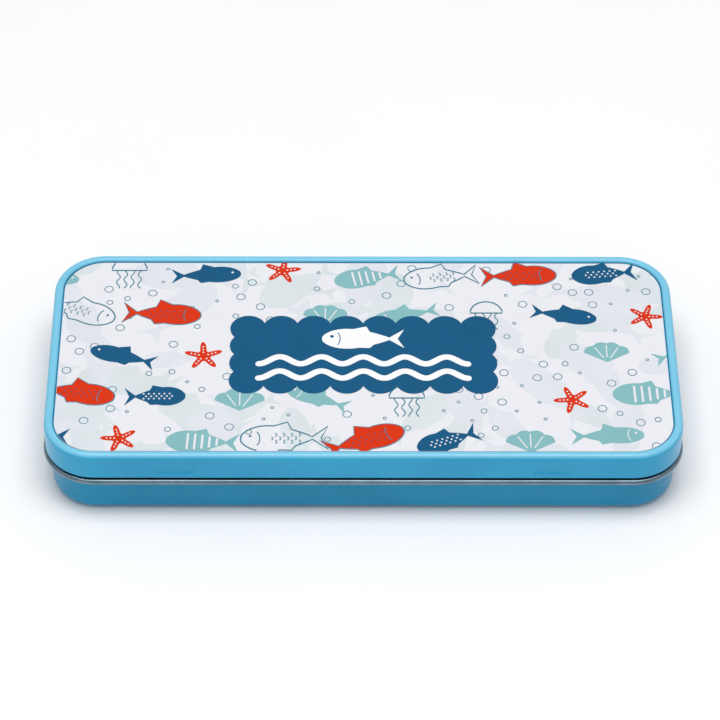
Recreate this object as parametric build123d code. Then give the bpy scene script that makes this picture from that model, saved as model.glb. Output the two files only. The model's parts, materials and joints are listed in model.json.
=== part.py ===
from build123d import *
import os

# Hinged tinplate pencil case, closed, in millimetres.
# Origin: centre of the flat underside. X runs along the case, +Y to the hinge side, +Z up.
# Both shells are pressed from thin sheet: one section of the wall is drawn as the middle line
# of the sheet, given its thickness, and carried round the rounded-rectangle plan.
# A section is drawn in (reach, height): reach is the distance from a plan corner's centre.

# Overall sizes
case_width = 190.0            # over the lid, along X
case_depth = 86.0             # over the lid, along Y, without the hinge
case_height = 25.0            # underside to the top of the rim
corner_radius = 15.3          # outer plan corner of the lid
sheet = 0.35                  # tinplate with its enamel

# Lid
skirt_depth = 9.4             # top of the rim to the lid's lower edge
rim_width = 2.7               # outer face of the skirt to the wall of the panel recess
rim_outer_radius = 1.5
rim_inner_radius = 1.0
recess_depth = 1.5            # top of the rim to the recess floor
recess_fillet = 0.2           # at the foot of the recess wall
hem_fold_gap = 0.1            # between the two layers of the folded lower edge
hem_height = 1.6

# Base
base_edge_radius = 3.0        # rounded edge round the underside
bead_diameter = 2.0           # bead round the wall, just below the lid's edge
bead_overhang = 0.6           # how far the bead stands out past the lid's outer face
bead_foot_radius = 0.5
bead_roundness = 0.97         # share of the bead's half height that is an arc
lid_gap = 0.8                 # bead to lid edge
neck_clearance = 2.15         # top of the neck to the underside of the lid's recess
curl_diameter = 0.9           # closed curl along the top of the neck
curl_overhang = 0.4           # how far the curl stands out of the neck
closing_gap = 0.5             # lid's hem to the neck's curl

# Closure dimples, pressed into the front of the skirt just below the neck's curl
dimple_spacing = 111.0
dimple_length = 12.0
dimple_height = 2.2
dimple_depth = 0.3
dimple_drop = 0.4             # underside of the curl to the top of a dimple

# Stiffening groove, pressed up into the underside, all round
groove_setback = 10.0         # lid's outer face to the middle of the groove
groove_width = 2.8
groove_depth = 0.6
groove_top_width = 1.4
groove_fillet = 0.5

# Printed panel and the sheet of adhesive under it
panel_thickness = 0.5
panel_gap = 0.35              # recess wall to panel edge
adhesive_thickness = 0.15
adhesive_setback = 1.5        # panel edge to adhesive edge

# Hinges: wire pins in knuckles rolled from the two shells
hinge_spacing = 120.0
pin_diameter = 1.2
pin_clearance = 0.05          # radial, in the lid's knuckle; the base's knuckles grip the pin
pin_overhang = 0.5            # pin end past the outer knuckle
pin_end_radius = 0.35
knuckle_standoff = 0.35       # lid's rear face to the knuckles
lid_knuckle_length = 10.0
base_knuckle_length = 6.0
knuckle_gap = 0.4             # between neighbouring knuckles
lid_strap_root = 0.2          # how deep a knuckle's strap runs into the lid's skirt
base_strap_root = 1.1         # and into the base's bead

# Worked out from the sizes above
half_sheet = sheet / 2
corner_x = case_width / 2 - corner_radius
corner_y = case_depth / 2 - corner_radius
lid_edge_height = case_height - skirt_depth
recess_floor = case_height - recess_depth
hem_thickness = 2 * sheet + hem_fold_gap
base_inset = hem_thickness + closing_gap + curl_overhang
bead_height = lid_edge_height - lid_gap - bead_diameter / 2
neck_top = recess_floor - sheet - neck_clearance
dimple_middle = neck_top - curl_diameter - dimple_drop - dimple_height / 2
knuckle_bore = pin_diameter / 2 + pin_clearance
knuckle_radius = knuckle_bore + sheet
pivot_y = case_depth / 2 + knuckle_standoff + knuckle_radius
pivot_z = lid_edge_height
hinge_half_length = lid_knuckle_length / 2 + knuckle_gap + base_knuckle_length
base_knuckle_offset = lid_knuckle_length / 2 + knuckle_gap + base_knuckle_length / 2


def reach(setback):
    """Distance from a plan corner's centre, for a setback from the lid's outer face."""
    return corner_radius - setback


def sheet_section(points, radii):
    """Section of a bent sheet from its middle line, cut off at the corner's centre line."""
    middle_line = FilletPolyline(*points, radius=radii)
    whole = Plane.XZ * make_face(offset(middle_line, half_sheet, kind=Kind.ARC))
    kept = Plane.XZ * Pos(corner_radius, case_height / 2) * Rectangle(2 * corner_radius, 2 * case_height)
    return whole & kept


def carry_round(section, floor_height):
    """Carry a wall section round the case and close it with the flat middle of its floor."""
    long_run = 2 * corner_x
    short_run = 2 * corner_y
    corner = revolve(section, Axis.Z, 90)
    end_wall = extrude(section, short_run / 2, dir=(0, 1, 0), both=True)
    side_wall = extrude(Rot(0, 0, 90) * section, long_run / 2, dir=(1, 0, 0), both=True)
    shell = Pos(0, 0, floor_height) * Box(long_run, short_run, sheet)
    for turn, x, y in ((0, 1, 1), (90, -1, 1), (180, -1, -1), (270, 1, -1)):
        shell += Pos(x * corner_x, y * corner_y) * Rot(0, 0, turn) * corner
    for turn, side in ((0, 1), (180, -1)):
        shell += Pos(side * corner_x, 0) * Rot(0, 0, turn) * end_wall
        shell += Pos(0, side * corner_y) * Rot(0, 0, turn) * side_wall
    return shell


def flat_sheet(setback, thickness, underside):
    """Flat rounded-rectangle sheet, set back from the lid's outer face."""
    outline = RectangleRounded(case_width - 2 * setback, case_depth - 2 * setback, reach(setback))
    return extrude(Pos(0, 0, underside) * outline, thickness)


def hinge_rod(radius, length, x):
    """Round bar on the hinge axis."""
    return Pos(x, pivot_y, pivot_z) * Rot(0, 90, 0) * Cylinder(radius, length)


def hinge_strap(length, x, start_y, side):
    """Flat tab from a shell to the top (side 1) or the bottom (side -1) of its knuckle."""
    reach_y = pivot_y - start_y
    height = pivot_z + side * (knuckle_radius - half_sheet)
    return Pos(x, start_y + reach_y / 2, height) * Box(length, reach_y, sheet)


def hinge_places():
    return (-hinge_spacing / 2, hinge_spacing / 2)


def base_knuckle_places():
    return [x + side * base_knuckle_offset for x in hinge_places() for side in (-1, 1)]


def lid_section():
    middle = recess_floor - half_sheet
    crest = case_height - half_sheet
    recess_wall = reach(rim_width - half_sheet)
    skirt = reach(half_sheet)
    points = [
        (-corner_radius, middle),
        (recess_wall, middle),
        (recess_wall, crest),
        (skirt, crest),
        (skirt, lid_edge_height + hem_height / 2),
    ]
    radii = [recess_fillet + half_sheet, rim_inner_radius - half_sheet, rim_outer_radius - half_sheet]
    hem = Plane.XZ * Pos(reach(hem_thickness / 2), lid_edge_height + hem_height / 2)
    return sheet_section(points, radii) + hem * SlotOverall(hem_height, hem_thickness, rotation=90)


def base_section():
    wall = reach(base_inset + half_sheet)
    bead_out = reach(half_sheet - bead_overhang)
    bead_half = bead_diameter / 2 - half_sheet
    groove = reach(groove_setback)
    floor_line = half_sheet
    groove_line = half_sheet + groove_depth
    curl_middle = neck_top - curl_diameter / 2
    points = [
        (-corner_radius, floor_line),
        (groove - groove_width / 2, floor_line),
        (groove - groove_top_width / 2, groove_line),
        (groove + groove_top_width / 2, groove_line),
        (groove + groove_width / 2, floor_line),
        (wall, floor_line),
        (wall, bead_height - bead_half),
        (bead_out, bead_height - bead_half),
        (bead_out, bead_height + bead_half),
        (wall, bead_height + bead_half),
        (wall, curl_middle),
    ]
    bead_bend = bead_roundness * bead_half
    foot_bend = bead_foot_radius - half_sheet
    radii = 4 * [groove_fillet] + [base_edge_radius - half_sheet, foot_bend, bead_bend, bead_bend, foot_bend]
    curl = Plane.XZ * Pos(reach(base_inset - curl_overhang + curl_diameter / 2), curl_middle)
    return sheet_section(points, radii) + curl * Circle(curl_diameter / 2)


def dimple_form(extra):
    """Round-ended pressing tool, grown by extra all over."""
    half_height = dimple_height / 2
    radius = (half_height**2 + dimple_depth**2) / (2 * dimple_depth)
    straight = dimple_length - dimple_height
    form = Rot(0, 90, 0) * Cylinder(radius + extra, straight)
    for side in (-1, 1):
        form += Pos(side * straight / 2, 0, 0) * Sphere(radius + extra)
    return Pos(0, dimple_depth - radius - case_depth / 2, dimple_middle) * form


def make_lid_shell():
    lid = carry_round(lid_section(), recess_floor - half_sheet)
    behind_face = Pos(0, (corner_radius - case_depth) / 2, dimple_middle) * Box(
        2 * dimple_length, corner_radius, case_height)
    bump = dimple_form(sheet) & behind_face
    for side in (-1, 1):
        place = Pos(side * dimple_spacing / 2, 0, 0)
        lid = lid + place * bump - place * dimple_form(0)
    for x in hinge_places():
        lid += hinge_strap(lid_knuckle_length, x, case_depth / 2 - lid_strap_root, 1)
        lid += hinge_rod(knuckle_radius, lid_knuckle_length, x)
        lid -= hinge_rod(knuckle_bore, lid_knuckle_length, x)
    return lid


def make_base_tray():
    base = carry_round(base_section(), half_sheet)
    for x in base_knuckle_places():
        base += hinge_strap(base_knuckle_length, x, case_depth / 2 + bead_overhang - base_strap_root, -1)
        base += hinge_rod(knuckle_radius, base_knuckle_length, x)
        base -= hinge_rod(pin_diameter / 2, base_knuckle_length, x)
    return base


def make_hinge_pin(x):
    pin = hinge_rod(pin_diameter / 2, 2 * (hinge_half_length + pin_overhang), x)
    return fillet(pin.edges().filter_by(GeomType.CIRCLE), pin_end_radius)


def make_print_panel():
    return flat_sheet(rim_width + panel_gap, panel_thickness, recess_floor + adhesive_thickness)


def make_panel_adhesive():
    return flat_sheet(rim_width + panel_gap + adhesive_setback, adhesive_thickness, recess_floor)


def main():
    left, right = hinge_places()
    nodes = {
        "base_tray": make_base_tray(),
        "lid_shell": make_lid_shell(),
        "print_panel": make_print_panel(),
        "panel_adhesive": make_panel_adhesive(),
        "left_hinge_pin": make_hinge_pin(left),
        "right_hinge_pin": make_hinge_pin(right),
    }
    os.makedirs("parts", exist_ok=True)
    for name, shape in nodes.items():
        export_step(shape, os.path.join("parts", name + ".step"))
    print("hinge axis y", round(pivot_y, 3), "z", round(pivot_z, 3))


main()
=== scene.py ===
import json
import math
import random

import bmesh
import bpy
from mathutils import Matrix, Vector

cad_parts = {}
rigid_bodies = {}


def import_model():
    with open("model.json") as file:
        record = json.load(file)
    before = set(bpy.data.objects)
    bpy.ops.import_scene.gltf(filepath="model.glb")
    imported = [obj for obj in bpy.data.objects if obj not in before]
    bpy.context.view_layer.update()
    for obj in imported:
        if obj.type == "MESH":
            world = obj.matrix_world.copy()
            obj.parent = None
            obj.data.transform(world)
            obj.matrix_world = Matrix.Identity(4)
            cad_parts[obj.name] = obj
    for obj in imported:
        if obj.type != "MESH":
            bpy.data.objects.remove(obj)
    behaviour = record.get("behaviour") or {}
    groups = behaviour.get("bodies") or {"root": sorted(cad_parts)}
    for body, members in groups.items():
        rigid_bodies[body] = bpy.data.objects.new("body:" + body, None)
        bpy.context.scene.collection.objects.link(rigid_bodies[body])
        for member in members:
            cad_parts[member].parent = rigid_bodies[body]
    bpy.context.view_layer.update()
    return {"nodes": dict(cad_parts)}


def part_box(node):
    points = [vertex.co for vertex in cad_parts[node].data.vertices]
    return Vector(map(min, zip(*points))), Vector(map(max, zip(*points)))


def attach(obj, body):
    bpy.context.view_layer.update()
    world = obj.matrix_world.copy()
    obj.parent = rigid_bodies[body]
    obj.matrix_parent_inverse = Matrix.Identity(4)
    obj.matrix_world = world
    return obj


for leftover in list(bpy.data.objects):
    bpy.data.objects.remove(leftover)

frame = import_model()
MM = 0.001

LID_LOW, LID_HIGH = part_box("lid_shell")
BASE_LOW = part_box("base_tray")[0]
PANEL_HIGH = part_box("print_panel")[1]
HALF_WIDTH = LID_HIGH.x
HALF_DEPTH = -LID_LOW.y

# Sizes of the shells that their finishes follow, in metres
CORNER_RADIUS = 15.3 * MM
PANEL_CORNER = 12.25 * MM
LID_EDGE = 15.6 * MM
HEM_TOP = LID_EDGE + 1.6 * MM
BEAD_BOTTOM = LID_EDGE - 2.8 * MM
# Above this the base's inner wall stands clear of the groove in its underside
FLOOR_BEND = BASE_LOW.z + 1.0 * MM


# ---------------------------------------------------------------- shader sums

class Sock:
    """A shader socket that works in ordinary sums."""

    def __init__(self, finish, link):
        self.finish = finish
        self.link = link

    def maths(self, operation, *values, clamp=False):
        settings = {"operation": operation, "use_clamp": clamp}
        return self.finish.node("ShaderNodeMath", settings, values)

    def __add__(self, other):
        return self.maths("ADD", self, other)

    __radd__ = __add__

    def __sub__(self, other):
        return self.maths("SUBTRACT", self, other)

    def __rsub__(self, other):
        return self.maths("SUBTRACT", other, self)

    def __mul__(self, other):
        return self.maths("MULTIPLY", self, other)

    __rmul__ = __mul__

    def __truediv__(self, other):
        return self.maths("DIVIDE", self, other)

    def __gt__(self, other):
        return self.maths("GREATER_THAN", self, other)

    def __lt__(self, other):
        return self.maths("LESS_THAN", self, other)

    def size(self):
        return self.maths("ABSOLUTE", self)

    def sign(self):
        return self.maths("SIGN", self)

    def root(self):
        return self.maths("SQRT", self)

    def at_least(self, other):
        return self.maths("MAXIMUM", self, other)

    def rise(self, low, high):
        """0 below low and 1 above high, smooth between."""
        settings = {"interpolation_type": "SMOOTHSTEP"}
        values = {"Value": self, "From Min": low, "From Max": high}
        return self.finish.node("ShaderNodeMapRange", settings, values)


class Finish:
    """One material: its shader, and the sums that vary it over a surface."""

    def __init__(self, name, **constants):
        self.material = bpy.data.materials.new(name)
        self.material.use_nodes = True
        self.tree = self.material.node_tree
        self.shader = self.tree.nodes["Principled BSDF"]
        for socket, value in constants.items():
            self.set(socket.replace("_", " "), value)
        where = self.tree.nodes.new("ShaderNodeTexCoord")
        self.place = Sock(self, where.outputs["Object"])
        self.facing = Sock(self, where.outputs["Normal"])

    def node(self, kind, settings=None, values=(), output=0):
        """Add a node: its settings first, then its values or links."""
        node = self.tree.nodes.new(kind)
        for key, value in (settings or {}).items():
            setattr(node, key, value)
        pairs = values.items() if isinstance(values, dict) else enumerate(values)
        for key, value in pairs:
            self.feed(node.inputs[key], value)
        return Sock(self, node.outputs[output])

    def feed(self, target, value):
        if isinstance(value, Sock):
            self.tree.links.new(value.link, target)
        else:
            target.default_value = value

    def set(self, socket, value):
        self.feed(self.shader.inputs[socket], value)

    def split(self, vector):
        node = self.tree.nodes.new("ShaderNodeSeparateXYZ")
        self.feed(node.inputs[0], vector)
        return [Sock(self, output) for output in node.outputs]

    def noise(self, size, detail=2.0, stretch=(1.0, 1.0, 1.0), seed=0.0):
        """Noise from 0 to 1 whose features are about size metres across, longer along stretch."""
        scale = [1.0 / (size * part) for part in stretch]
        where = self.node("ShaderNodeVectorMath", {"operation": "MULTIPLY"}, [self.place, scale])
        values = {"Vector": where, "W": seed, "Scale": 1.0, "Detail": detail}
        return self.node("ShaderNodeTexNoise", {"noise_dimensions": "4D"}, values)

    def mix(self, amount, low, high):
        """Colour low where amount is 0, high where it is 1."""
        values = {"Factor": amount, 6: low, 7: high}
        return self.node("ShaderNodeMix", {"data_type": "RGBA"}, values, output=2)

    def bump(self, height, distance, strength=1.0):
        values = {"Height": height, "Distance": distance, "Strength": strength}
        self.set("Normal", self.node("ShaderNodeBump", None, values))


def rgb(red, green, blue):
    """A display colour, 0 to 255, as the linear colour that shaders take."""
    parts = [value / 255 for value in (red, green, blue)]
    return (*[v / 12.92 if v <= 0.04045 else ((v + 0.055) / 1.055) ** 2.4 for v in parts], 1.0)


def dress(node, finish):
    for place in frame["nodes"][node].material_slots:
        place.material = finish.material


# ---------------------------------------------------------------- enamel and bare tin

LID_BLUES = rgb(18, 160, 208), rgb(30, 169, 216)
# The base's blues are the lid's enamel made darker: painted shade for the lower part of the case
SHADED_BASE_BLUES = rgb(2, 138, 182), rgb(8, 148, 192)
# Paler blue mixed into the enamel: a painted highlight on the lid's crest, and paler towards the base's
# bottom edge
PALE_ENAMEL = rgb(150, 218, 242)
OUTER_TINS = rgb(100, 122, 136), rgb(134, 154, 166)
INNER_TINS = rgb(186, 190, 193), rgb(216, 218, 220)


def wall_measures(finish):
    """Setback from the lid's outer face, and how far the surface faces out of the case."""
    x, y, z = finish.split(finish.place)
    east, north, up = finish.split(finish.facing)
    past_x = (x.size() - (HALF_WIDTH - CORNER_RADIUS)).at_least(0.0)
    past_y = (y.size() - (HALF_DEPTH - CORNER_RADIUS)).at_least(0.0)
    reach = (past_x * past_x + past_y * past_y).root()
    outward = (past_x * x.sign() * east + past_y * y.sign() * north) / CORNER_RADIUS
    return CORNER_RADIUS - reach, outward, up, z


def paint_and_tin(finish, blues, paleness, bare, inside):
    """Glossy blue enamel where bare is 0, rolled bare tinplate where it is 1.

    The enamel is mixed towards a paler blue by the third argument, fully where it is 1; on the lid this
    is a painted highlight along the crest.
    The tin is darker and bluer outside the case than inside it.
    """
    drift = finish.noise(0.03, detail=2.0, seed=1.7)
    peel = finish.noise(0.0009, detail=1.0, seed=4.1)
    grain = finish.noise(0.0006, detail=3.0, stretch=(30.0, 1.0, 1.0), seed=2.3)
    spangle = finish.noise(0.006, detail=3.0, seed=7.9)
    handled = finish.noise(0.012, detail=4.0, seed=9.2)
    enamel = finish.mix(drift.rise(0.35, 0.65), *blues)
    enamel = finish.mix(paleness * (0.7 + 0.3 * handled), enamel, PALE_ENAMEL)
    streak = (grain * 0.6 + spangle * 0.4).rise(0.3, 0.7)
    tin = finish.mix(inside, finish.mix(streak, *OUTER_TINS), finish.mix(streak, *INNER_TINS))
    finish.set("Base Color", finish.mix(bare, enamel, tin))
    finish.set("Metallic", bare * (1.0 - 0.3 * inside))
    enamel_rough = 0.24 + 0.10 * handled
    tin_rough = 0.22 + 0.22 * grain
    finish.set("Roughness", enamel_rough * (1.0 - bare) + tin_rough * bare)
    finish.set("Coat Weight", (1.0 - bare) * 0.2)
    finish.bump(peel * (1.0 - bare) + grain * bare, 0.00002, 0.25)


def lid_finish():
    finish = Finish("lid_enamel_and_tin", Specular_IOR_Level=0.3, Coat_Roughness=0.08)
    setback, outward, up, z = wall_measures(finish)
    ragged = (finish.noise(0.002, detail=3.0, seed=5.0) - 0.5) * 0.0004
    underside = (up < -0.4) * (z > HEM_TOP) * (setback > 0.0006)
    inner_wall = (outward < -0.02) * (setback < 0.001) * (z > ragged + HEM_TOP)
    bare = underside.at_least(inner_wall)
    # Painted highlight: the enamel is paler towards the top of the rim's crest
    painted_crest_highlight = z.rise(LID_HIGH.z - 1.2 * MM, LID_HIGH.z - 0.1 * MM) * 0.75
    paint_and_tin(finish, LID_BLUES, painted_crest_highlight, bare, bare)
    return finish


def base_finish():
    finish = Finish("base_enamel_and_tin", Specular_IOR_Level=0.2, Coat_Roughness=0.08)
    setback, outward, up, z = wall_measures(finish)
    ragged = (finish.noise(0.002, detail=3.0, seed=5.0) - 0.5) * 0.0004
    rim = (z + ragged).rise(BEAD_BOTTOM - 0.0006, BEAD_BOTTOM - 0.0003)
    inner_floor = (up > 0.25) * (setback > 0.0022)
    inner_wall = (outward < -0.02) * (setback > 0.0018) * (z > FLOOR_BEND)
    inside = inner_floor.at_least(inner_wall)
    # Paler blue towards the bottom edge
    edge = 1.0 - z.rise(BASE_LOW.z, BASE_LOW.z + 1.2 * MM)
    # The base's darker blues are painted shade
    paint_and_tin(finish, SHADED_BASE_BLUES, 0.12 * edge, rim.at_least(inside), inside)
    return finish


def wire_finish():
    finish = Finish("drawn_wire", Metallic=1.0)
    grain = finish.noise(0.0003, detail=3.0, stretch=(25.0, 1.0, 1.0))
    finish.set("Base Color", finish.mix(grain, rgb(150, 152, 155), rgb(196, 198, 200)))
    finish.set("Roughness", 0.2 + 0.2 * grain)
    finish.bump(grain, 0.00001, 0.4)
    return finish


def adhesive_finish():
    finish = Finish("adhesive_film", Roughness=0.5)
    finish.set("Base Color", finish.mix(finish.noise(0.004), rgb(205, 204, 198), rgb(222, 221, 216)))
    return finish


# ---------------------------------------------------------------- printed panel

# Each layer of ink lies this much above the one before, and ends this far inside the panel
LAYER = 0.015 * MM
PRINT_MARGIN = 0.08 * MM
PRINT_SEED = 11
# Lines and small shapes stop this much further inside, in millimetres
FINE_MARGIN = 0.2

PANEL_WHITE = rgb(232, 233, 238)
# "gap" is the panel's own white, for marks left unprinted inside a solid shape
INKS = {
    "navy": rgb(14, 88, 130),
    "red": rgb(218, 50, 4),
    "teal": rgb(134, 187, 192),
    "line": rgb(52, 124, 146),
    "pale": rgb(250, 250, 252),
    "gap": PANEL_WHITE,
    "wash_green": rgb(218, 226, 230),
    "wash_lilac": rgb(224, 227, 234),
}


def printed_finish(name, colour, mottle=0.06):
    """Dye print in a satin coating: slightly uneven colour, level surface."""
    finish = Finish(name, Specular_IOR_Level=0.2)
    worn = [part * (1.0 - mottle) for part in colour[:3]] + [1.0]
    cloud = finish.noise(0.009, detail=4.0, seed=3.0)
    fleck = finish.noise(0.0005, detail=2.0, seed=8.0)
    finish.set("Base Color", finish.mix((cloud * 0.6 + fleck * 0.4).rise(0.3, 0.7), worn, colour))
    finish.set("Roughness", 0.22 + 0.12 * cloud)
    finish.bump(fleck, 0.00001, 0.15)
    return finish


def panel_finish():
    """White coating on top, bare sheared aluminium on the cut edges and underneath."""
    finish = printed_finish("coated_panel", PANEL_WHITE, mottle=0.03)
    up = finish.split(finish.facing)[2]
    coated = up > 0.5
    white = finish.shader.inputs["Base Color"].links[0].from_socket
    finish.set("Base Color", finish.mix(coated, rgb(190, 192, 195), Sock(finish, white)))
    finish.set("Metallic", 1.0 - coated)
    return finish


# The print is drawn in millimetres on the panel, and a fish in shares of its own length.
# Where a fish's body ends and its tail begins, as a share of its length
STEM = 0.82
BODY_STEPS = 26


def body_half(depth, x):
    """Half the height of a leaf-shaped body at x, which runs from the nose, 0, to the stem."""
    swell = math.sin(math.pi * min(x / STEM, 1.0) ** 0.7)
    return depth * max(swell, 0.0) ** 0.9 + 0.02


def fish_outline(depth, fin, fork):
    """A plain fish seen from the side, nose at x 0 and tail tips at x 1.

    depth is half the height of its body, fin is how far its two fins stand out, and fork is
    half the height of its tail, all as shares of its length.
    """
    places = [STEM * (i / BODY_STEPS) ** 1.6 for i in range(1, BODY_STEPS + 1)]
    back = [(x, body_half(depth, x)) for x in places if not 0.38 < x < 0.55]
    back.append((0.54, body_half(depth, 0.54) + fin))
    belly = [(x, -body_half(depth, x)) for x in places if not 0.46 < x < 0.59]
    belly.append((0.58, -body_half(depth, 0.58) - fin / 2))
    tail = [(1.0, fork), (0.92, 0.0), (1.0, -fork)]
    return [(0.0, 0.0)] + sorted(back) + tail + sorted(belly, reverse=True)


def bow(x, y, bulge, half):
    """Curve across a fish's side that bulges towards its tail."""
    turns = [math.radians(14 * i - 70) for i in range(11)]
    return [(x + bulge * math.cos(turn), y + half * math.sin(turn)) for turn in turns]


class Swimmer:
    """Turns a fish's own coordinates into millimetres on the panel, its back uppermost."""

    def __init__(self, middle, length, heading):
        self.along = Vector((math.cos(heading), math.sin(heading))) * length
        self.nose = Vector(middle) - self.along / 2
        upright = 1 if self.along.x >= 0 else -1
        self.up = Vector((-self.along.y, self.along.x)) * upright

    def at(self, x, y):
        return self.nose + self.along * x + self.up * y

    def shape(self, points):
        return [self.at(*point) for point in points]


def disc(centre, radius, sides=12):
    turns = [math.tau * i / sides for i in range(sides)]
    return [Vector(centre) + Vector((math.cos(a), math.sin(a))) * radius for a in turns]


def arc(centre, radius, start, end, steps=10):
    turns = [math.radians(start + (end - start) * i / steps) for i in range(steps + 1)]
    return [Vector(centre) + Vector((math.cos(a), math.sin(a))) * radius for a in turns]


def starfish(centre, radius, lean):
    """Five soft arms: the reach swells and shrinks five times round."""
    outline = []
    for i in range(80):
        turn = math.tau * i / 80
        swell = 0.5 + 0.5 * math.cos(5 * turn)
        reach = radius * (0.36 + 0.64 * swell ** 2)
        outline.append(centre + Vector((math.sin(turn + lean), math.cos(turn + lean))) * reach)
    return outline


def on_panel(point):
    past_x = max(abs(point.x) - (PANEL_HIGH.x - PANEL_CORNER) / MM, 0)
    past_y = max(abs(point.y) - (PANEL_HIGH.y - PANEL_CORNER) / MM, 0)
    return math.hypot(past_x, past_y) < (PANEL_CORNER - PRINT_MARGIN) / MM - FINE_MARGIN


def edge_crossing(start, end):
    """Where a line that starts on the panel and ends off it meets the edge of the print."""
    for _ in range(12):
        middle = (start + end) / 2
        if on_panel(middle):
            start = middle
        else:
            end = middle
    return start


def runs_on_panel(line, closed):
    """The stretches of a line that lie on the panel, each with whether it is still closed."""
    if all(on_panel(point) for point in line):
        return [(line, closed)]
    if closed:
        first = next(i for i, point in enumerate(line) if not on_panel(point))
        line = line[first:] + line[:first + 1]
    runs, run = [], []
    for start, end in zip(line, line[1:]):
        if on_panel(start):
            run.append(start)
            if not on_panel(end):
                runs.append(run + [edge_crossing(start, end)])
                run = []
        elif on_panel(end):
            run = [edge_crossing(end, start)]
    if run:
        runs.append(run + [line[-1]])
    return [(found, False) for found in runs if len(found) > 2]


class Ink:
    """Everything printed in one ink: thin closed slabs that lie on the panel.

    Large shapes are cut along the panel's edge. With small_shapes, a filled shape that crosses
    the edge is left out, and only lines are cut.
    """

    def __init__(self, small_shapes=False):
        self.mesh = bmesh.new()
        self.small_shapes = small_shapes

    def _ring(self, points, z):
        return [self.mesh.verts.new((p.x * MM, p.y * MM, z * MM)) for p in points]

    def fill(self, outline):
        """Slab inside a closed outline."""
        if self.small_shapes and not all(on_panel(point) for point in outline):
            return
        turned = sum(a.x * b.y - b.x * a.y for a, b in zip(outline, outline[1:] + outline[:1]))
        if turned < 0:
            outline = outline[::-1]
        top = self._ring(outline, 1)
        bottom = self._ring(outline, -1)
        self.mesh.faces.new(top)
        self.mesh.faces.new(bottom[::-1])
        for i in range(len(top)):
            j = (i + 1) % len(top)
            self.mesh.faces.new((bottom[i], bottom[j], top[j], top[i]))

    def stroke(self, line, width, closed=False):
        """Ribbon of one width along a line, where it lies on the panel."""
        for run, still_closed in runs_on_panel(line, closed):
            self._ribbon(run, width, still_closed)

    def _ribbon(self, line, width, closed):
        count = len(line)
        left, right = [], []
        for i, point in enumerate(line):
            before = line[i - 1] if closed or i else point
            after = line[(i + 1) % count] if closed or i < count - 1 else point
            along = (after - before).normalized()
            side = Vector((-along.y, along.x)) * width / 2
            left.append(point + side)
            right.append(point - side)
        rails = [self._ring(left, 1), self._ring(right, 1), self._ring(right, -1), self._ring(left, -1)]
        for i in range(count if closed else count - 1):
            j = (i + 1) % count
            for k in range(4):
                here, there = rails[k], rails[(k + 1) % 4]
                self.mesh.faces.new((here[i], there[i], there[j], here[j]))
        if not closed:
            self.mesh.faces.new([rail[0] for rail in rails[::-1]])
            self.mesh.faces.new([rail[-1] for rail in rails])

    def trimmed(self, piece, joined):
        """The piece's mesh cut along the panel's edge; joined makes overlapping shapes one."""
        trim = piece.modifiers.new("trim", "BOOLEAN")
        trim.operation = "INTERSECT"
        trim.object = panel_block()
        trim.solver = "EXACT"
        trim.use_self = joined
        flat = bpy.data.meshes.new_from_object(piece.evaluated_get(bpy.context.evaluated_depsgraph_get()))
        piece.modifiers.clear()
        return flat

    def print_on_panel(self, name, level, finish, joined=False):
        """Lay the slabs flat on the panel, level layers up, ending at its edge."""
        bmesh.ops.recalc_face_normals(self.mesh, faces=self.mesh.faces)
        data = bpy.data.meshes.new(name)
        self.mesh.to_mesh(data)
        self.mesh.free()
        piece = bpy.data.objects.new(name, data)
        bpy.context.scene.collection.objects.link(piece)
        if not self.small_shapes:
            piece.data = self.trimmed(piece, joined)
        for vertex in piece.data.vertices:
            top = PANEL_HIGH.z + level * LAYER
            vertex.co.z = top if vertex.co.z > 0 else PANEL_HIGH.z - LAYER / 2
        piece.data.materials.clear()
        piece.data.materials.append(finish.material)
        piece.data.update()
        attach(piece, "lid")


# Holds the trimming block while the panel is printed, so that it is made only once
_block = []


def panel_block():
    """Block with the panel's outline, used to trim the print; it isn't shown."""
    if _block:
        return _block[0]
    half_x = PANEL_HIGH.x - PANEL_CORNER
    half_y = PANEL_HIGH.y - PANEL_CORNER
    outline = []
    for start, x, y in ((0, 1, 1), (90, -1, 1), (180, -1, -1), (270, 1, -1)):
        centre = Vector((x * half_x, y * half_y)) / MM
        outline += arc(centre, (PANEL_CORNER - PRINT_MARGIN) / MM, start, start + 90, 16)
    block = Ink()
    block.fill(outline)
    for vertex in block.mesh.verts:
        vertex.co.z *= 2
    data = bpy.data.meshes.new("panel_block")
    block.mesh.to_mesh(data)
    made = bpy.data.objects.new("panel_block", data)
    bpy.context.scene.collection.objects.link(made)
    _block.append(made)
    return made


def draw_spots(ink, swimmer, radius):
    """Three staggered rows of spots along a fish's side."""
    for row in (-1, 0, 1):
        for i in range(6):
            x = 0.22 + 0.085 * i + 0.04 * abs(row)
            ink.fill(disc(swimmer.at(x, 0.055 * row), radius, 8))


def draw_gill(ink, swimmer):
    ink.stroke(swimmer.shape(bow(0.17, 0.0, 0.05, 0.11)), 0.3)


def draw_plain_fish(inks, middle, length, heading):
    swimmer = Swimmer(middle, length, heading)
    inks["navy"].fill(swimmer.shape(fish_outline(0.14, 0.1, 0.15)))
    inks["spot"].fill(disc(swimmer.at(0.12, 0.03), 0.4, 10))


def draw_spotted_fish(inks, middle, length, heading):
    swimmer = Swimmer(middle, length * 0.9, heading)
    inks["navy"].fill(swimmer.shape(fish_outline(0.19, 0.09, 0.2)))
    draw_spots(inks["spot"], swimmer, 0.32)


def draw_red_fish(inks, middle, length, heading):
    swimmer = Swimmer(middle, length * 1.1, heading)
    body = swimmer.shape(fish_outline(0.16, 0.12, 0.18))
    inks["red"].fill(body)
    inks["line"].stroke(body, 0.3, closed=True)
    draw_spots(inks["dark_spot"], swimmer, 0.26)
    draw_gill(inks["line"], swimmer)


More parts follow.
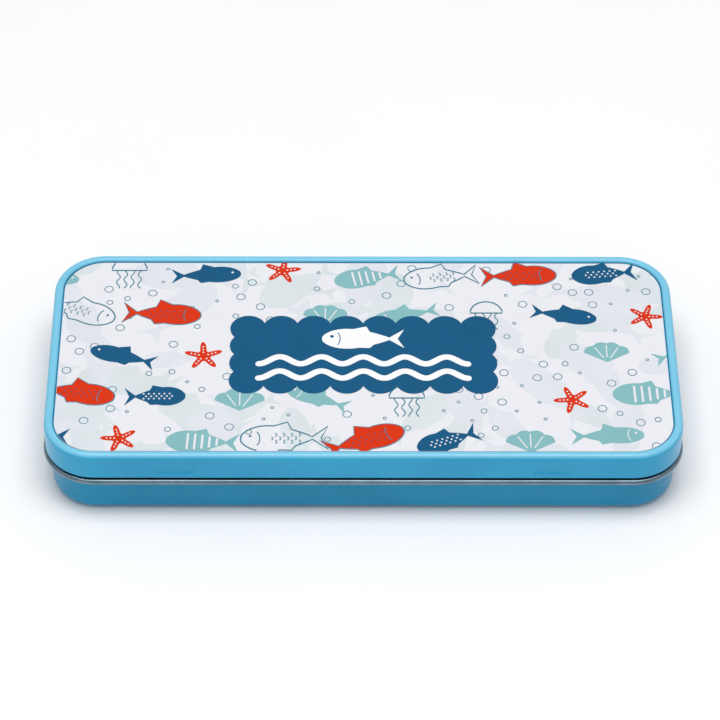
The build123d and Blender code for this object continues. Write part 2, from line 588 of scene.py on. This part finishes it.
def draw_teal_fish(inks, middle, length, heading):
    swimmer = Swimmer(middle, length * 0.95, heading)
    inks["teal"].fill(swimmer.shape(fish_outline(0.13, 0.11, 0.15)))
    draw_gill(inks["gap"], swimmer)
    inks["spot"].fill(disc(swimmer.at(0.11, 0.035), 0.4, 10))


def draw_banded_fish(inks, middle, length, heading):
    """Fish with upright bands that stay inside its body."""
    depth = 0.18
    swimmer = Swimmer(middle, length, heading)
    inks["teal"].fill(swimmer.shape(fish_outline(depth, 0.09, 0.18)))
    for x in (0.28, 0.38, 0.48, 0.58, 0.68):
        half = 0.75 * body_half(depth, x)
        band = [(x, -half), (x + 0.03, -half), (x + 0.03, half), (x, half)]
        inks["gap"].fill(swimmer.shape(band))


def draw_line_fish(inks, middle, length, heading):
    """Fish drawn in line only, with rows of scales."""
    swimmer = Swimmer(middle, length * 1.15, heading)
    inks["line"].stroke(swimmer.shape(fish_outline(0.18, 0.1, 0.18)), 0.4, closed=True)
    inks["line"].fill(disc(swimmer.at(0.11, 0.04), 0.4))
    draw_gill(inks["line"], swimmer)
    for i in range(4):
        for row in (-1, 0, 1):
            x = 0.34 + 0.09 * i + 0.045 * abs(row)
            scale = bow(x, 0.055 * row, 0.03, 0.028)
            inks["line"].stroke(swimmer.shape(scale), 0.24)


def draw_starfish(inks, middle, length, heading):
    radius = length * 0.26
    inks["red"].fill(starfish(middle, radius, heading))
    for arm in range(5):
        turn = math.tau * arm / 5 + heading
        outwards = Vector((math.sin(turn), math.cos(turn)))
        for share in (0.25, 0.45, 0.65):
            inks["spot"].fill(disc(middle + outwards * radius * share, radius * 0.05, 8))


def draw_shell(inks, middle, length, heading):
    """Fan shell: a scalloped edge, and ribs that spread from its foot."""
    radius = length * 0.42
    foot = middle - Vector((0, radius / 2))
    edge = []
    for i in range(61):
        turn = math.radians(30 + 2 * i)
        reach = radius * (0.92 + 0.08 * abs(math.sin(math.radians(12 * i))))
        edge.append(foot + Vector((math.cos(turn), math.sin(turn))) * reach)
    inks["teal"].fill([foot] + edge)
    for i in (15, 30, 45):
        inks["gap"].stroke([foot.lerp(edge[i], share) for share in (0.25, 0.5, 0.75, 0.9)], 0.35)


def draw_jellyfish(inks, middle, length, heading):
    """Dome with four wavy threads, drawn in line."""
    radius = length * 0.24
    dome = arc(middle, radius, 0, 180, 16)
    inks["line"].stroke(dome, 0.4, closed=True)
    for across in (-0.6, -0.2, 0.2, 0.6):
        thread = []
        for i in range(13):
            wave = 0.1 * math.sin(0.9 * i + 4 * across)
            thread.append(middle + Vector((across + wave, -0.12 * i)) * radius)
        inks["line"].stroke(thread, 0.3)


# Each is drawn round a middle, to a length and along a heading; shells and jellyfish stay upright
MOTIFS = (
    draw_plain_fish, draw_starfish, draw_banded_fish, draw_line_fish, draw_red_fish,
    draw_spotted_fish, draw_shell, draw_teal_fish, draw_jellyfish,
)
COLUMNS = 9
ROWS = 5
COLUMN_STEP = 24.5
ROW_STEP = 17.5
# How far along the list of motifs each row starts after the row below it
ROW_TURN = 4
MOTIF_LENGTHS = 20, 23
# How far each motif may be moved from its place, and how far it may lean, in radians
MOVE = 1.5
LEAN = 0.4
BUBBLE_TRIES = 900
BUBBLE_TO_MOTIF = 9.5
BUBBLE_TO_BUBBLE = 5.0
BUBBLE_RADII = 0.45, 0.9, 1.3
GREEN_WASH_FISH = 34
LILAC_WASH_FISH = 30
# Navy motifs this close to the navy badge, beyond its half sizes, are left out
BADGE_CLEARANCE = Vector((18.0, 13.0))


def draw_pattern(inks, rng):
    """Staggered rows of motifs that run off the panel; returns the middle of each."""
    middles = []
    for row in range(ROWS):
        for column in range(COLUMNS):
            x = (column - COLUMNS // 2 + 0.5 * (row % 2)) * COLUMN_STEP
            y = (row - ROWS // 2) * ROW_STEP
            middle = Vector((x + rng.uniform(-MOVE, MOVE), y + rng.uniform(-MOVE, MOVE)))
            heading = rng.choice((0, math.pi)) + rng.uniform(-LEAN, LEAN)
            length = rng.uniform(*MOTIF_LENGTHS)
            draw = MOTIFS[(column + ROW_TURN * row) % len(MOTIFS)]
            reach = BADGE_HALF + BADGE_CLEARANCE
            by_badge = abs(middle.x) < reach.x and abs(middle.y) < reach.y
            if by_badge and draw in (draw_plain_fish, draw_spotted_fish):
                continue
            draw(inks, middle, length, heading)
            middles.append(middle)
    return middles


def draw_bubbles(ink, rng, middles):
    """Bubbles in the spaces between the motifs."""
    taken = []
    for _ in range(BUBBLE_TRIES):
        centre = Vector((rng.uniform(-90, 90), rng.uniform(-38, 38)))
        clear_of_motifs = all((centre - other).length > BUBBLE_TO_MOTIF for other in middles)
        clear_of_bubbles = all((centre - other).length > BUBBLE_TO_BUBBLE for other in taken)
        if clear_of_motifs and clear_of_bubbles:
            taken.append(centre)
            radius = rng.choice(BUBBLE_RADII)
            ink.stroke(disc(centre, radius, 20), 0.25, closed=True)


def draw_wash(rng, count):
    """Very pale fish scattered under the pattern."""
    wash = Ink()
    for _ in range(count):
        middle = Vector((rng.uniform(-95, 95), rng.uniform(-42, 42)))
        swimmer = Swimmer(middle, rng.uniform(16, 34), rng.uniform(0, math.tau))
        wash.fill(swimmer.shape(fish_outline(rng.uniform(0.12, 0.2), 0.07, 0.15)))
    return wash


# The badge: a navy plaque with a scalloped edge, the same left and right, and on it one fish
# over two waves. Millimetres on the panel.
BADGE_HALF = Vector((35.0, 11.0))
SCALLOP = 5.5
SCALLOPS_ACROSS = 7
SCALLOPS_UP = 3
WAVE_LEVELS = -2.6, -8.6
WAVE_REACH = 31.5
WAVE_HEIGHT = 1.5
WAVE_LENGTH = 12.6
WAVE_THICK = 2.2
WAVE_STEPS = 72


def draw_badge():
    badge = Ink()
    x, y = BADGE_HALF
    badge.fill([Vector((-x, -y)), Vector((x, -y)), Vector((x, y)), Vector((-x, y))])
    for i in range(SCALLOPS_ACROSS + 1):
        for side in (-y, y):
            badge.fill(disc((x * (2 * i / SCALLOPS_ACROSS - 1), side), SCALLOP, 40))
    for i in range(1, SCALLOPS_UP):
        for side in (-x, x):
            badge.fill(disc((side, y * (2 * i / SCALLOPS_UP - 1)), SCALLOP, 40))
    return badge


def badge_fish():
    return Swimmer((0.0, 6.6), 25.0, 0.0)


def draw_badge_motif():
    motif = Ink()
    motif.fill(badge_fish().shape(fish_outline(0.15, 0.08, 0.16)))
    for level in WAVE_LEVELS:
        line = []
        for i in range(WAVE_STEPS + 1):
            x = WAVE_REACH * (2 * i / WAVE_STEPS - 1)
            rise = WAVE_HEIGHT * math.cos(math.tau * x / WAVE_LENGTH)
            line.append(Vector((x, level + rise)))
        motif.stroke(line, WAVE_THICK)
        for tip in (line[0], line[-1]):
            motif.fill(disc(tip, WAVE_THICK / 2, 24))
    return motif


def draw_badge_details():
    details = Ink()
    swimmer = badge_fish()
    details.fill(disc(swimmer.at(0.12, 0.04), 0.6, 16))
    draw_gill(details, swimmer)
    return details


def print_the_panel():
    rng = random.Random(PRINT_SEED)
    colours = {name: printed_finish(f"{name}_ink", colour) for name, colour in INKS.items()}
    green = draw_wash(rng, GREEN_WASH_FISH)
    green.print_on_panel("wash_green_print", 1, colours["wash_green"], joined=True)
    lilac = draw_wash(rng, LILAC_WASH_FISH)
    lilac.print_on_panel("wash_lilac_print", 2, colours["wash_lilac"], joined=True)
    inks = {name: Ink() for name in ("navy", "red", "teal")}
    for name in ("line", "spot", "dark_spot", "bubble", "gap"):
        inks[name] = Ink(small_shapes=True)
    middles = draw_pattern(inks, rng)
    draw_bubbles(inks["bubble"], rng, middles)
    order = (("bubble", 3, "line"), ("teal", 4, "teal"), ("navy", 5, "navy"), ("red", 6, "red"),
             ("gap", 6, "gap"), ("line", 7, "line"), ("spot", 8, "gap"), ("dark_spot", 8, "navy"))
    for name, level, colour in order:
        inks[name].print_on_panel(f"{name}_print", level, colours[colour])
    draw_badge().print_on_panel("badge_print", 9, colours["navy"], joined=True)
    draw_badge_motif().print_on_panel("badge_motif_print", 10, colours["pale"], joined=True)
    draw_badge_details().print_on_panel("badge_detail_print", 11, colours["navy"])
    bpy.data.objects.remove(_block.pop())


# ---------------------------------------------------------------- floor, lights, camera

def floor_finish():
    finish = Finish("pale_floor", Roughness=0.55)
    finish.set("Base Color", finish.mix(finish.noise(0.05), rgb(252, 252, 252), rgb(255, 255, 255)))
    return finish


def make_floor():
    mesh = bpy.data.meshes.new("floor")
    reach = 4.0
    corners = [(-reach, -reach, 0), (reach, -reach, 0), (reach, reach, 0), (-reach, reach, 0)]
    mesh.from_pydata(corners, [], [(0, 1, 2, 3)])
    mesh.materials.append(floor_finish().material)
    floor = bpy.data.objects.new("floor", mesh)
    bpy.context.scene.collection.objects.link(floor)


def make_light(name, place, size, power, target=(0, 0, 0.01)):
    lamp = bpy.data.lights.new(name, "AREA")
    lamp.shape = "RECTANGLE"
    lamp.size, lamp.size_y = size
    lamp.energy = power
    light = bpy.data.objects.new(name, lamp)
    bpy.context.scene.collection.objects.link(light)
    light.location = place
    light.rotation_euler = (Vector(target) - Vector(place)).to_track_quat("-Z", "Y").to_euler()


def make_studio():
    world = bpy.data.worlds.new("studio")
    bpy.context.scene.world = world
    world.use_nodes = True
    sky = world.node_tree.nodes["Background"]
    sky.inputs["Color"].default_value = (1, 1, 1, 1)
    sky.inputs["Strength"].default_value = 0.48
    make_light("overhead", (0, -0.1, 1.2), (0.9, 0.6), 9.4)
    bpy.context.scene.view_settings.view_transform = "Standard"


def make_camera():
    elevation = math.radians(45.5)
    turn = math.radians(-0.68)
    roll = math.radians(0.56)
    distance = 0.9976
    sideways = -0.84 * MM
    upwards = 15.27 * MM
    level_back = Vector((math.sin(turn), -math.cos(turn), 0))
    back = level_back * math.cos(elevation) + Vector((0, 0, math.sin(elevation)))
    target = Vector((sideways, upwards * math.sin(elevation), upwards * math.cos(elevation)))
    camera = bpy.data.objects.new("camera", bpy.data.cameras.new("camera"))
    bpy.context.scene.collection.objects.link(camera)
    camera.data.sensor_width = 36
    camera.data.lens = 161.85
    camera.data.clip_start = 0.05
    camera.data.clip_end = 20
    camera.rotation_mode = "QUATERNION"
    camera.location = target + back * distance
    level = (-back).to_track_quat("-Z", "Y")
    camera.rotation_quaternion = level @ Matrix.Rotation(roll, 3, "Z").to_quaternion()
    bpy.context.scene.camera = camera


dress("lid_shell", lid_finish())
dress("base_tray", base_finish())
dress("print_panel", panel_finish())
dress("panel_adhesive", adhesive_finish())
wire = wire_finish()
dress("left_hinge_pin", wire)
dress("right_hinge_pin", wire)
print_the_panel()
make_floor()
make_studio()
make_camera()
